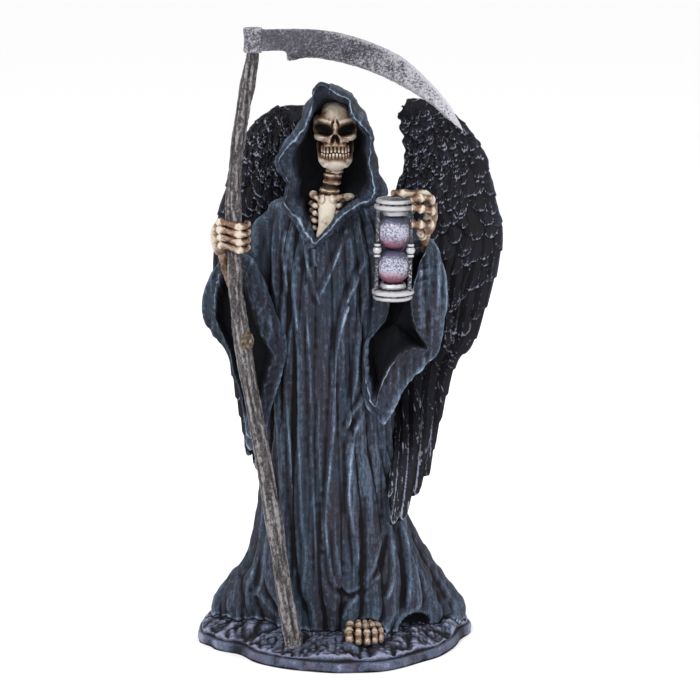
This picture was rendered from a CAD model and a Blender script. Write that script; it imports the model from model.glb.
# %% [markdown]
# # A cast reaper figurine
# The solids of this figurine come packed as a frame: figure, scythe, hourglass and two wings. This file
# dresses them with ten pieces: base, robe, hood with sleeves, bones, staff, blade, the hourglass's frame
# and bulbs, and two wings. Every visible piece is a numpy surface: a formula over two parameters, worked
# out as whole arrays, then put into a mesh. The same few driving tables as the solids' keep each piece
# where the frame says it is.

import math

import bpy
import numpy as np
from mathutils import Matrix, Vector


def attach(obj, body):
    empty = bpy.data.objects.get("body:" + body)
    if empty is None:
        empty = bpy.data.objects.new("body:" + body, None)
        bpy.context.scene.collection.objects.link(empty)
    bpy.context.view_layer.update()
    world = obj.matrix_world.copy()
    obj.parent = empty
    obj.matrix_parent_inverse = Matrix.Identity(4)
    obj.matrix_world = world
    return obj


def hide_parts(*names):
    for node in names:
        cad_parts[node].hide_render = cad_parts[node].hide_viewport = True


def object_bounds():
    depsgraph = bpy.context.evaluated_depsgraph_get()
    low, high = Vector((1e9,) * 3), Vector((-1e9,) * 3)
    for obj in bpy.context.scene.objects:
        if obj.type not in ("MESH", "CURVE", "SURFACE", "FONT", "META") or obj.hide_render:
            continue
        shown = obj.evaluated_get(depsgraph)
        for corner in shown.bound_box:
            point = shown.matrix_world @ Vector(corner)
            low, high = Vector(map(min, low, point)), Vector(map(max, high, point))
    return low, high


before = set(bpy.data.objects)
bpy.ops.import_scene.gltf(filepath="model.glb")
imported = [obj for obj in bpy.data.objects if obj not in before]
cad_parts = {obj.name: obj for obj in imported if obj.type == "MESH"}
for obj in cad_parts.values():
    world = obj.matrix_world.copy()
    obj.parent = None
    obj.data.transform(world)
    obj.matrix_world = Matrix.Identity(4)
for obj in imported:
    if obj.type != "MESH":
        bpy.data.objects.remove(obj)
cad_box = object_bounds()
low, high = (np.array(corner) for corner in cad_box)
HEIGHT = float(high[2] - low[2])
PARTS = 300
PART = HEIGHT / PARTS
MIDDLE_X = -0.84
print("frame", sorted(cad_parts), "height", round(HEIGHT, 4))

# %% [markdown]
# ## Camera, floor and light
# The photograph looks a little down on the figurine from straight in front. A long lens 1.2 m away keeps
# the wings and the base in the right proportion. A pale floor that runs far back gives no horizon, and
# three big soft lamps with a pale sky give the even studio light that lets the dark folds read.

# %% Camera, floor and light
CAMERA_AWAY = 1.2
CAMERA_HEIGHT = 0.39846
CAMERA_DOWN = 12.0
CAMERA_LENS = 131.14
FLOOR_SIZE = 30.0
LAMPS = (("key", (-0.55, -0.9, 1.15), 0.6, 10.0), ("fill", (0.95, -0.8, 0.55), 0.8, 3.0),
         ("back", (0.35, 1.0, 0.95), 0.7, 4.0))
LAMP_AIM = (0, 0, 0.15)


def stage_set():
    """Camera, floor, sky and lamps; none of them is part of the figurine."""
    lens = bpy.data.cameras.new("camera")
    lens.lens = CAMERA_LENS
    lens.sensor_width = 36.0
    lens.clip_end = 100
    camera = bpy.data.objects.new("camera", lens)
    camera.location = (-MIDDLE_X * PART, -CAMERA_AWAY, CAMERA_HEIGHT)
    camera.rotation_euler = (math.radians(90 - CAMERA_DOWN), 0, 0)
    bpy.context.scene.collection.objects.link(camera)
    bpy.context.scene.camera = camera
    half = FLOOR_SIZE / 2
    mesh = bpy.data.meshes.new("floor")
    corners = [(-half, -half, 0), (half, -half, 0), (half, half, 0), (-half, half, 0)]
    mesh.from_pydata(corners, [], [(0, 1, 2, 3)])
    floor = bpy.data.objects.new("floor", mesh)
    bpy.context.scene.collection.objects.link(floor)
    for name, spot, size, power in LAMPS:
        lamp = bpy.data.lights.new(name, "AREA")
        lamp.energy = power
        lamp.size = size
        item = bpy.data.objects.new(name, lamp)
        item.location = spot
        aim = np.array(LAMP_AIM) - np.array(spot)
        tip = math.atan2(math.hypot(aim[0], aim[1]), -aim[2])
        item.rotation_euler = (tip, 0, math.atan2(aim[1], aim[0]) - math.pi / 2)
        bpy.context.scene.collection.objects.link(item)
    world = bpy.data.worlds.new("studio")
    world.use_nodes = True
    world.node_tree.nodes["Background"].inputs["Color"].default_value = (1, 1, 1, 1)
    world.node_tree.nodes["Background"].inputs["Strength"].default_value = 1.0
    bpy.context.scene.world = world
    bpy.context.scene.view_settings.view_transform = "Standard"
    return floor


floor = stage_set()

# %% [markdown]
# ## Curves, rings and grids
# A figurine like this is sculpted, so nothing in it is straight. Catmull-Rom curves run smoothly through
# a few named points. A ring is such a curve closed on itself, and a skin is a smooth surface through a
# stack of rings.

# %% Curves through points


def held(value):
    """A share kept between 0 and 1."""
    return np.clip(value, 0, 1)


def bell(away, wide, power=2):
    """A smooth bell: 1 in the middle, a third at a distance of its width; a higher power makes its top
    flatter."""
    return np.exp(-(np.abs(away / wide) ** power))


def place(points):
    """Positions given in parts of the height become metres about the origin."""
    spot = np.array(points, float)
    spot[..., 0] -= MIDDLE_X
    return spot * PART


def cubic(knots, first, share, wrap):
    """Catmull-Rom: each point is a cubic mix of the four knots round its stretch."""
    before, start, end, after = (knots[wrap(first + k)] for k in (-1, 0, 1, 2))
    t = share.reshape((-1,) + (1,) * (knots.ndim - 1))
    bend = 2 * before - 5 * start + 4 * end - after
    twist = 3 * start - before - 3 * end + after
    return 0.5 * (2 * start + (end - before) * t + bend * t**2 + twist * t**3)


def closed_curve(points, count):
    """Smooth closed curve through the points, as count points."""
    knots = np.array(points, float)
    along = np.arange(count) * len(knots) / count
    first = along.astype(int)
    return cubic(knots, first, along - first, lambda i: i % len(knots))


def open_curve(points, count):
    """Smooth open curve through the points, or a skin through a stack of rings."""
    knots = np.array(points, float)
    last = len(knots) - 1
    along = np.linspace(0, last, count) if np.isscalar(count) else np.asarray(count) * last
    first = np.minimum(along.astype(int), last - 1)
    return cubic(knots, first, along - first, lambda i: np.clip(i, 0, last))


def lookup(table, where, period=360):
    """Smooth value from rows of (angle, value) that run round a full turn."""
    rows = np.array(table, float)
    places = np.append(rows[:, 0], rows[0, 0] + period)
    values = np.append(rows[:, 1], rows[0, 1])
    where = (np.asarray(where, float) - places[0]) % period + places[0]
    slot = np.clip(np.searchsorted(places, where, side="right") - 1, 0, len(places) - 2)
    share = (where - places[slot]) / (places[slot + 1] - places[slot])
    ease = (1 - np.cos(math.pi * share)) / 2
    return values[slot] * (1 - ease) + values[slot + 1] * ease


# %% [markdown]
# ## Seeded roughness
# Hand-worked resin is never smooth. Value noise fills a lattice with seeded random numbers and blends the
# eight corners round each point, so the same bumps come back on every run.

# %% Value noise
LATTICE = np.random.default_rng(5).random((32, 32, 32))


def noise(spots, size, shift=0.0):
    """Noise from -1 to 1 at points in parts; size is the length of a bump along each axis, in parts."""
    q = np.asarray(spots, float) / np.asarray(size, float) + shift
    base = np.floor(q).astype(int)
    t = q - base
    t = t * t * (3 - 2 * t)
    total = 0.0
    for corner in range(8):
        step = np.array([corner & 1, corner >> 1 & 1, corner >> 2 & 1])
        weight = np.prod(np.where(step, t, 1 - t), axis=-1)
        i, j, k = (base + step).T % 32 if base.ndim == 2 else np.moveaxis((base + step) % 32, -1, 0)
        total = total + weight * LATTICE[i, j, k]
    return 2 * total - 1


def grain(spots, layers):
    """Layers of noise laid over one another, each given as (height, length of a bump, shift)."""
    return sum(height * noise(spots, size, shift) for height, size, shift in layers)


# %% [markdown]
# ## From grid to mesh, with paint guides
# The painter first floods a figurine with dark paint and then drags a nearly dry pale brush over it, so
# the pale paint catches only what stands proud. To paint the same way, each vertex keeps two numbers:
# edge, how far it stands proud of its softened neighbourhood, and hollow, how far it lies below it. The
# softening is a box blur of the grid.

# %% Grids, normals and paint guides


GUIDES = ("edge", "hollow", "tone")


def blur(grid, reach):
    """Average over a window of 2*reach+1 cells along both directions, twice over; columns close round."""
    for _ in range(2):
        for axis in (0, 1):
            pad = [(0, 0)] * grid.ndim
            pad[axis] = (reach + 1, reach)
            padded = np.pad(grid, pad, mode="wrap" if axis else "edge")
            total = np.cumsum(padded, axis=axis)
            wide = 2 * reach + 1
            top = np.take(total, np.arange(wide, total.shape[axis]), axis=axis)
            bottom = np.take(total, np.arange(0, total.shape[axis] - wide), axis=axis)
            grid = (top - bottom) / wide
    return grid


def grid_normal(grid):
    """Unit normals of a grid that closes round, from the cross product of its two directions."""
    across = (np.roll(grid, -1, axis=1) - np.roll(grid, 1, axis=1)) / 2
    normal = np.cross(across, np.gradient(grid, axis=0))
    return normal / np.maximum(np.linalg.norm(normal, axis=-1, keepdims=True), 1e-12)


def push(grid, height):
    """Moves every point along its outward normal by a height in parts."""
    return grid + grid_normal(grid) * height[..., None]


def outward(grid, *marks):
    """Turns a grid that closes round so that its normals point away from its middle, and its marks with
    it."""
    faces = np.cross(np.roll(grid, -1, 1) - np.roll(grid, 1, 1), np.gradient(grid, axis=0))
    if ((grid - grid.mean(axis=(0, 1))) * faces).sum() <= 0:
        grid, *marks = (sheet[:, ::-1] for sheet in (grid, *marks))
    return (grid, *marks) if marks else grid


def standing(grid, reach):
    """Height of each point over its softened neighbourhood, along the normal, in parts."""
    return ((grid - blur(grid, reach)) * grid_normal(grid)).sum(axis=-1)


def guides(grid, fine, broad, gain, shares=(1.3, 0.35)):
    """Paint guides from two softenings, narrow for rims and broad for whole folds, counted from the usual
    height."""
    lift = standing(grid, fine) * shares[0] + standing(grid, broad) * shares[1]
    lift = lift - np.median(lift)
    return held(lift * gain), held(-lift * gain)


class Builder:
    """Collects grids into one mesh, each with its paint guides, and closes their ends."""

    def __init__(self):
        self.points, self.faces, self.marks = [], [], []
        self.count = 0

    def add(self, grid, edge=None, hollow=None, tone=0.0, gain=1.0, fine=3, broad=12, lips=0):
        """Adds a grid in parts that closes round. Its first and last row are closed to their middles, or,
        where lips gives the number of columns in front, by strips between front and back."""
        rows, cols = grid.shape[:2]
        if edge is None:
            edge, hollow = guides(grid, fine, broad, gain)
        index = self.count + np.arange(rows * cols).reshape(rows, cols)
        right = np.roll(index, -1, axis=1)
        quads = np.stack([index[:-1], right[:-1], right[1:], index[1:]], axis=-1).reshape(-1, 4)
        self.faces.append(quads)
        tone = np.broadcast_to(tone, (rows, cols))
        spots = [grid.reshape(-1, 3)]
        marks = [np.column_stack([np.ravel(edge), np.ravel(hollow), np.ravel(tone)])]
        self.count += rows * cols
        for row, flip in ((0, True), (-1, False)):
            if lips:
                front, behind = index[row, :lips], index[row, lips:][::-1]
                pair = behind[np.rint(np.linspace(0, len(behind) - 1, lips)).astype(int)]
                steps = pair[1:] != pair[:-1]
                fans = np.vstack([np.column_stack([front[:-1], front[1:], pair[:-1]]),
                                  np.column_stack([front[1:], pair[1:], pair[:-1]])[steps]])
                fans = fans[:, ::-1] if flip else fans
            else:
                spots.append(grid[row].mean(axis=0)[None])
                marks.append(np.array([[0.0, 0.5, tone[row].mean()]]))
                ring, after = index[row], np.roll(index[row], -1)
                pair = (after, ring) if flip else (ring, after)
                fans = np.column_stack([*pair, np.full(cols, self.count)])
                self.count += 1
            self.faces.append(np.column_stack([fans, fans[:, 2]]))
        self.points.append(np.vstack(spots))
        self.marks.append(np.vstack(marks))

    def build(self, name, nodes, slot, material):
        """Makes the object: points in metres, triangles at the closed ends, guides as attributes."""
        points, quads = place(np.vstack(self.points)), np.vstack(self.faces)
        fans = quads[:, 2] == quads[:, 3]
        sizes = np.where(fans, 3, 4)
        keep = np.ones(quads.shape, bool)
        keep[fans, 3] = False
        loops = quads[keep]
        mesh = bpy.data.meshes.new(name)
        mesh.vertices.add(len(points))
        mesh.vertices.foreach_set("co", points.ravel())
        mesh.loops.add(len(loops))
        mesh.loops.foreach_set("vertex_index", loops)
        mesh.polygons.add(len(sizes))
        mesh.polygons.foreach_set("loop_start", np.concatenate([[0], np.cumsum(sizes)[:-1]]))
        mesh.polygons.foreach_set("loop_total", sizes)
        mesh.update(calc_edges=True)
        mesh.validate()
        marks = np.vstack(self.marks)
        for k, guide in enumerate(GUIDES):
            layer = mesh.attributes.new(guide, "FLOAT", "POINT")
            layer.data.foreach_set("value", marks[:, k].astype(np.float32))
        mesh.shade_smooth()
        item = bpy.data.objects.new(name, mesh)
        bpy.context.scene.collection.objects.link(item)
        mesh.materials.append(material)
        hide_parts(*nodes)
        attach(item, "root")
        size = (points.max(axis=0) - points.min(axis=0)) * 1000
        print(name, "triangles", int((sizes - 2).sum()), "mm", size.round(1))
        return item


def tube_grid(path, radii, sides, flat=1.0, start=None):
    """Rings square to a path: the frame is carried along the path so that it never twists."""
    path = np.asarray(path, float)
    radii = np.broadcast_to(radii, len(path))
    forward = np.gradient(path, axis=0)
    forward /= np.linalg.norm(forward, axis=1)[:, None]
    side = np.cross(forward[0], (0.0, 0.0, 1.0)) if start is None else np.asarray(start, float)
    if np.linalg.norm(side) < 0.1:
        side = np.array((1.0, 0.0, 0.0))
    turn = -np.arange(sides) * 2 * math.pi / sides
    rings = []
    for spot, ahead, radius in zip(path, forward, radii):
        side = side - ahead * side.dot(ahead)
        side /= np.linalg.norm(side)
        up = np.cross(side, ahead)
        rings.append(spot + radius * (np.outer(np.cos(turn), side) + flat * np.outer(np.sin(turn), up)))
    return np.array(rings)


# %% [markdown]
# ## Shader maths
# A dry-brushed finish is arithmetic on masks. Wrapping a socket in a small class lets the masks be
# written as plain expressions, each operator adding one Math node.

# %% A socket that can be added and multiplied


class Value:
    """A shader socket with arithmetic: every operation adds one Math node to the same tree."""

    def __init__(self, paint, socket):
        self.paint, self.socket = paint, socket

    def math(self, kind, *others):
        return self.paint.node("ShaderNodeMath", {"operation": kind}, dict(enumerate((self, *others))))

    def __add__(self, other):
        return self.math("ADD", other)

    def __sub__(self, other):
        return self.math("SUBTRACT", other)

    def __rsub__(self, other):
        return self.paint.node("ShaderNodeMath", {"operation": "SUBTRACT"}, {0: other, 1: self})

    def __mul__(self, other):
        return self.math("MULTIPLY", other)

    __radd__ = __add__
    __rmul__ = __mul__

    def step(self, start, stop):
        """Smooth step: 0 below start, 1 above stop."""
        return self.paint.node("ShaderNodeMapRange", {"interpolation_type": "SMOOTHSTEP"},
                               {"Value": self, "From Min": start, "From Max": stop})


class Paint:
    """A material in the making, with the few kinds of node that the finishes need."""

    def __init__(self, name, **shader):
        self.material = bpy.data.materials.new(name)
        self.material.use_nodes = True
        self.tree = self.material.node_tree
        self.shader = self.tree.nodes["Principled BSDF"]
        for key, value in shader.items():
            self.shader.inputs[key.replace("_", " ").title().replace("Ior", "IOR")].default_value = value
        self.place = self.node("ShaderNodeTexCoord", {}, {}, "Object")

    def node(self, kind, settings, inputs, output=0):
        """Adds a node: settings first, then each input as a value or a link; gives one output back as a
        Value."""
        made = self.tree.nodes.new(kind)
        for key, value in settings.items():
            setattr(made, key, value)
        for key, value in inputs.items():
            if isinstance(value, Value):
                self.tree.links.new(value.socket, made.inputs[key])
            else:
                made.inputs[key].default_value = value
        return Value(self, made.outputs[output])

    def guide(self, name):
        """A number kept on the vertices."""
        return self.node("ShaderNodeAttribute", {"attribute_name": name}, {}, "Fac")

    def noise(self, size, stretch=(1, 1, 1), detail=4.0, rough=0.6):
        """Noise from 0 to 1; size is the length of one bump in millimetres, stretch draws it out."""
        scale = tuple(1.0 / part for part in stretch)
        spot = self.node("ShaderNodeMapping", {}, {"Vector": self.place, "Scale": scale})
        inputs = {"Vector": spot, "Scale": 1000.0 / size, "Detail": detail, "Roughness": rough}
        return self.node("ShaderNodeTexNoise", {}, inputs)

    def mix(self, share, under, over):
        """Mixes two colours by a mask."""
        made = self.tree.nodes.new("ShaderNodeMix")
        made.data_type = "RGBA"
        for slot, value in ((0, share), (6, under), (7, over)):
            if isinstance(value, Value):
                self.tree.links.new(value.socket, made.inputs[slot])
            else:
                made.inputs[slot].default_value = (*value, 1.0) if slot else value
        return Value(self, made.outputs[2])

    def finish(self, colour, roughness=None, height=None, strength=0.4, depth=0.0004):
        """Links colour, roughness and bump into the shader."""
        self.tree.links.new(colour.socket, self.shader.inputs["Base Color"])
        if roughness is not None:
            self.tree.links.new(roughness.socket, self.shader.inputs["Roughness"])
        if height is not None:
            inputs = {"Height": height, "Strength": strength, "Distance": depth}
            bump = self.node("ShaderNodeBump", {}, inputs)
            self.tree.links.new(bump.socket, self.shader.inputs["Normal"])
        return self.material


# %% [markdown]
# ## The paints
# All of them work the same way round: a dark wash in the hollows, the body colour between, and a pale dry
# brush on what stands proud, broken up by fine noise so that it looks dragged and not printed.

# %% Robe paint


def cloth_paint():
    """Slate blue over purple-black, with teal and blue-white dragged over the folds along their
    length."""
    paint = Paint("robe paint", roughness=0.7, specular_ior_level=0.2)
    edge, hollow, tone = map(paint.guide, GUIDES)
    streak = paint.noise(1.0, (1, 1, 12), 5.0, 0.75)
    speck = paint.noise(1.0, (1, 1, 1.8), 5.0, 0.9)
    patch = paint.noise(16.0, (1, 1, 1.8), 3.0, 0.6)
    tint = paint.noise(9.0, (1, 1, 3), 2.0, 0.5)
    body = paint.mix((patch + streak * 0.6).step(0.62, 0.98), (0.024, 0.021, 0.031),
                     (0.020, 0.028, 0.046))
    body = paint.mix((tint + streak * 0.4).step(0.68, 0.98) * 0.5, body, (0.012, 0.038, 0.054))
    body = paint.mix((hollow + speck * 0.1).step(0.10, 0.62), body, (0.0035, 0.0035, 0.006))
    brush = (edge * 0.7 + speck * 1.6 + streak * 1.1 - hollow * 0.8).step(1.36, 1.74)
    body = paint.mix(brush * 0.8, body, (0.078, 0.108, 0.160))
    rim = (edge * 0.75 + speck * 1.9 + streak * 0.6).step(1.72, 2.12)
    body = paint.mix(rim * 0.85, body, (0.27, 0.36, 0.46))
    lined = (edge * 1.2 + streak * 0.5 + speck * 0.3).step(0.55, 1.3)
    inside = paint.mix(lined, (0.003, 0.0035, 0.006), (0.040, 0.052, 0.078))
    body = paint.mix(tone, body, inside)
    return paint.finish(body, 0.78 - brush * 0.15, streak * 0.6 + speck * 0.5, 0.55, 0.0005)


# %% Bone, wood, metal, feather and rock paints


def bone_paint():
    """Ivory with a burnt orange-brown wash lying in every hollow, and the deepest hollows black."""
    paint = Paint("bone paint", roughness=0.6, specular_ior_level=0.3)
    edge, hollow, tone = map(paint.guide, GUIDES)
    stain = paint.noise(3.0, (1, 1, 1), 5.0, 0.7)
    speck = paint.noise(1.0, (1, 1, 1), 4.0, 0.8)
    ivory = (stain * 1.5 + speck * 0.7 + edge * 0.6 - tone * 0.6 - hollow * 0.5).step(0.92, 1.26)
    body = paint.mix(ivory, (0.15, 0.078, 0.044), (0.32, 0.255, 0.205))
    burnt = (hollow * 2.0 + speck * 0.4 + stain * 0.3 - edge * 0.7 + tone * 0.7).step(0.52, 1.05)
    body = paint.mix(burnt, body, (0.060, 0.025, 0.016))
    rubbed = (edge * 1.5 + speck * 0.5 + stain * 0.5 - tone * 0.9 - hollow).step(0.55, 1.35)
    body = paint.mix(rubbed * 0.9, body, (0.60, 0.53, 0.44))
    body = paint.mix((hollow * 0.9 + tone * 1.05 + speck * 0.1).step(0.62, 1.0), body,
                     (0.004, 0.0035, 0.004))
    return paint.finish(body, 0.5 + hollow * 0.3, stain * 0.5 + speck * 0.5, 0.35, 0.0003)


def wood_paint():
    """Grey-brown bark: dark cracks that run with the staff, silvery dry brush on the ridges."""
    paint = Paint("bark paint", roughness=0.7, specular_ior_level=0.2)
    edge, hollow, tone = map(paint.guide, GUIDES)
    bark = paint.noise(1.6, (1, 1, 8), 5.0, 0.7)
    speck = paint.noise(0.9, (1, 1, 2.2), 5.0, 0.95)
    body = paint.mix((bark * 0.5 + speck * 0.6).step(0.42, 0.66), (0.018, 0.015, 0.016),
                     (0.085, 0.076, 0.078))
    body = paint.mix((edge * 0.5 + speck * 1.3 + bark * 0.3 - hollow * 0.4).step(0.78, 1.02) * 0.85, body,
                     (0.27, 0.255, 0.265))
    body = paint.mix((hollow * 1.4 - speck * 0.3).step(0.15, 0.8), body, (0.010, 0.009, 0.011))
    knot = paint.mix((edge * 0.8 + speck * 0.8 - hollow * 1.5).step(0.25, 0.85), (0.045, 0.03, 0.018),
                     (0.27, 0.21, 0.13))
    body = paint.mix(tone, body, knot)
    return paint.finish(body, None, bark * 0.9 + speck * 0.6, 0.6, 0.0006)


def blade_paint():
    """Dark gunmetal near the collar, with a silver speckle that grows towards the tip."""
    paint = Paint("blade paint", roughness=0.5, metallic=0.3, specular_ior_level=0.3)
    edge, hollow, tone = map(paint.guide, GUIDES)
    speck = paint.noise(1.2, (1, 1, 1), 5.0, 0.9)
    cloud = paint.noise(6.0, (1, 1, 1), 4.0, 0.6)
    body = paint.mix((speck * 0.8 + cloud * 0.3).step(0.48, 0.68), (0.050, 0.048, 0.062),
                     (0.150, 0.147, 0.172))
    bright = (speck * 1.4 + tone * 0.26 + cloud * 0.2 + edge * 0.2 - hollow * 0.3).step(0.86, 1.08)
    body = paint.mix(bright * (0.30 + tone * 0.65), body, (0.56, 0.55, 0.60))
    return paint.finish(body, 0.66 - speck * 0.3, speck * 0.9 + cloud * 0.3, 0.6, 0.0005)


def silver_paint():
    """Antique silver: black wash in the grooves, bright rubbed metal on every turned edge."""
    paint = Paint("hourglass silver", roughness=0.45, metallic=0.4)
    edge, hollow = map(paint.guide, GUIDES[:2])
    speck = paint.noise(0.9, (1, 1, 1), 4.0, 0.85)
    body = paint.mix((edge * 0.8 + speck * 1.7 - hollow * 0.8).step(0.82, 1.14), (0.030, 0.030, 0.040),
                     (0.46, 0.455, 0.48))
    body = paint.mix((hollow * 1.8 - speck * 0.4).step(0.05, 0.6), body, (0.008, 0.008, 0.012))
    return paint.finish(body, 0.5 - edge * 0.2, speck, 0.4, 0.0003)


def bulb_paint():
    """Pale blue-grey speckle on the glass bulbs, darker towards their ends and rose at the bottom of
    each."""
    paint = Paint("bulb paint", roughness=0.35, coat_weight=0.15)
    hollow, tone = map(paint.guide, GUIDES[1:])
    speck = paint.noise(1.0, (1, 1, 1), 4.0, 0.85)
    veil = paint.noise(4.0, (1, 1, 1), 3.0, 0.6)
    body = paint.mix((speck * 1.3 + veil * 0.4 - hollow * 0.6).step(0.70, 0.96), (0.075, 0.075, 0.13),
                     (0.45, 0.46, 0.56))
    rose = (tone * 1.6 + speck * 1.3 + veil * 1.0 - 1.45).step(0.50, 1.25)
    body = paint.mix(rose * 0.8, body, (0.27, 0.055, 0.085))
    body = paint.mix((hollow + veil * 0.3).step(0.55, 1.1), body, (0.03, 0.028, 0.055))
    return paint.finish(body, None, speck, 0.25, 0.0003)


def feather_paint():
    """Black plumage with a blue-grey brush on the quills, barbs and rims."""
    paint = Paint("wing paint", roughness=0.6, specular_ior_level=0.2)
    edge, hollow, tone = map(paint.guide, GUIDES)
    speck = paint.noise(1.0, (1, 1, 2), 4.0, 0.8)
    cloud = paint.noise(14.0, (1, 1, 1), 2.0, 0.5)
    body = paint.mix(cloud.step(0.35, 0.7), (0.0045, 0.0042, 0.0065), (0.0085, 0.009, 0.015))
    body = paint.mix((edge * 0.7 + tone * 0.4 + speck * 1.2).step(0.86, 1.25) * 0.7, body,
                     (0.034, 0.039, 0.062))
    body = paint.mix((edge * 0.3 + tone * 0.9 + speck * 1.5).step(1.14, 1.55) * 0.9, body,
                     (0.25, 0.265, 0.34))
    body = paint.mix((hollow * 1.2 - tone * 0.6).step(0.15, 0.7), body, (0.0015, 0.0015, 0.002))
    return paint.finish(body, 0.65 - edge * 0.15, speck, 0.4, 0.0004)


def rock_paint():
    """Dark blue-grey rock with lilac and pale blue dragged over the lumps."""
    paint = Paint("rock paint", roughness=0.75, specular_ior_level=0.2)
    edge, hollow = map(paint.guide, GUIDES[:2])
    speck = paint.noise(1.2, (1, 1, 1), 5.0, 0.85)
    patch = paint.noise(10.0, (1, 1, 1), 3.0, 0.6)
    body = paint.mix(patch.step(0.35, 0.65), (0.020, 0.020, 0.031), (0.028, 0.033, 0.050))
    brush = (edge * 0.9 + speck * 1.6 + patch * 0.3 - hollow * 0.7).step(0.88, 1.25)
    lilac_or_blue = paint.mix(patch.step(0.4, 0.6), (0.115, 0.110, 0.175), (0.095, 0.125, 0.195))
    body = paint.mix(brush * 0.75, body, lilac_or_blue)
    body = paint.mix((edge * 0.8 + speck * 1.6).step(1.15, 1.50) * 0.8, body, (0.27, 0.28, 0.38))
    body = paint.mix((hollow * 1.5).step(0.12, 0.7), body, (0.005, 0.005, 0.008))
    return paint.finish(body, None, speck, 0.5, 0.0006)


CLOTH, BONE, WOOD = cloth_paint(), bone_paint(), wood_paint()
BLADE, SILVER, BULB = blade_paint(), silver_paint(), bulb_paint()
PLUMAGE, ROCK = feather_paint(), rock_paint()
floor_paint = Paint("floor paint", roughness=0.9, base_color=(0.97, 0.97, 0.97, 1.0))
floor.data.materials.append(floor_paint.material)
print("paints ready")

# %% [markdown]
# ## The base
# On the real piece the base is one lump with a smooth wall and a broken, stony top that climbs a little
# towards the figure. The grid runs round in angle and inwards in share of the outline. Seeded round lumps
# give the big forms, and noise folded at zero, so that it has creases, gives the stones.

# %% The base
BASE_RIM = 0.0045
BASE_TOP = 0.0105
BASE_CENTRE = (-8.0, 0.0)
BASE_OUTLINE = [
    (-175, 67), (-150, 64), (-125, 61), (-90, 58.2), (-55, 60), (-30, 66), (-6, 69), (10, 63), (31, 62),
    (47, 60), (65, 61), (85, 58.5), (103, 57), (129, 57), (144, 55), (161, 63), (171, 67.5),
]
LUMP_COUNT = 46
LUMP_RISE = 0.0018
STONES = [(2.1, 8.0, 0.0), (1.3, 4.0, 3.3), (0.6, 1.9, 7.1)]
BASE_SIDES = 350
WALL_ROWS = 16
TOP_ROWS = 78


def rock_height(x, y):
    """Height of the rock top: it rises from the rim towards the figure, and seeded round lumps stand on
    it."""
    draw = np.random.default_rng(11)
    spots = np.column_stack([draw.uniform(-76, 62, LUMP_COUNT), draw.uniform(-58, 58, LUMP_COUNT)])
    size = draw.uniform(4.0, 8.0, LUMP_COUNT)
    lift = draw.uniform(-0.6, 1.0, LUMP_COUNT) * LUMP_RISE / PART
    away = (x[..., None] - spots[:, 0]) ** 2 + (y[..., None] - spots[:, 1]) ** 2
    return (lift * np.exp(-away / size**2)).sum(axis=-1)


def rock_level(x, y):
    """Height of the stony top at a place: the rim, the climb inwards, the big lumps and the stones."""
    turn = np.degrees(np.arctan2(BASE_CENTRE[1] - y, x - BASE_CENTRE[0]))
    share = np.hypot(x - BASE_CENTRE[0], y - BASE_CENTRE[1]) / lookup(BASE_OUTLINE, turn)
    rim, top = BASE_RIM / PART, BASE_TOP / PART
    level = rim + (top - rim) * held((1 - share) / 0.3) ** 0.6
    spots = np.stack([x, y, 0 * x], axis=-1)
    stones = sum(height * np.abs(noise(spots, size, shift)) for height, size, shift in STONES)
    return level + held((1 - share) / 0.05) * (rock_height(x, y) + stones - 0.9)


def rock_surface():
    """Grid of the base from the underside's rim, up the wall, over the edge and in over the stones."""
    turn = np.linspace(0, 360, BASE_SIDES, endpoint=False)
    outline = lookup(BASE_OUTLINE, turn)
    rim = BASE_RIM / PART
    profile = [(0.985, 0), (0.998, 0.3 * rim), (0.998, 0.65 * rim), (0.988, 0.98 * rim),
               (0.965, 1.15 * rim)]
    wall = open_curve(profile, WALL_ROWS)
    share = np.concatenate([wall[:, 0], np.linspace(0.96, 0.42, TOP_ROWS)])[:, None]
    x = BASE_CENTRE[0] + share * outline * np.cos(np.radians(turn))
    y = BASE_CENTRE[1] - share * outline * np.sin(np.radians(turn))
    spots = np.stack([x, y, rock_level(x, y)], axis=-1)
    spots[:WALL_ROWS, :, 2] = wall[:, 1:]
    worn = spots[1:WALL_ROWS]
    spots[1:WALL_ROWS] -= (0.5 + 0.5 * noise(worn, 4.5))[..., None] * (worn - (*BASE_CENTRE, 5)) / 60
    return outward(spots)


base = Builder()
base.add(rock_surface(), gain=1.5, fine=1, broad=5)
base.build("base", ("figure",), "figure_paint", ROCK)

# %% [markdown]
# ## The robe
# On the real piece robe, hood and sleeves are one casting. Here the robe is a piece by itself, so that
# neither of the two meshes grows too big. It is a loft of ellipses that widens into the trailing hem. Its
# folds are ridges at fixed angles with sharp valleys between, as heavy cloth falls. On top of them lie
# the long single folds that can be followed by eye on the real piece, each a ridge beside a groove along
# its own line, and last a fine vertical grain.

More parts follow.
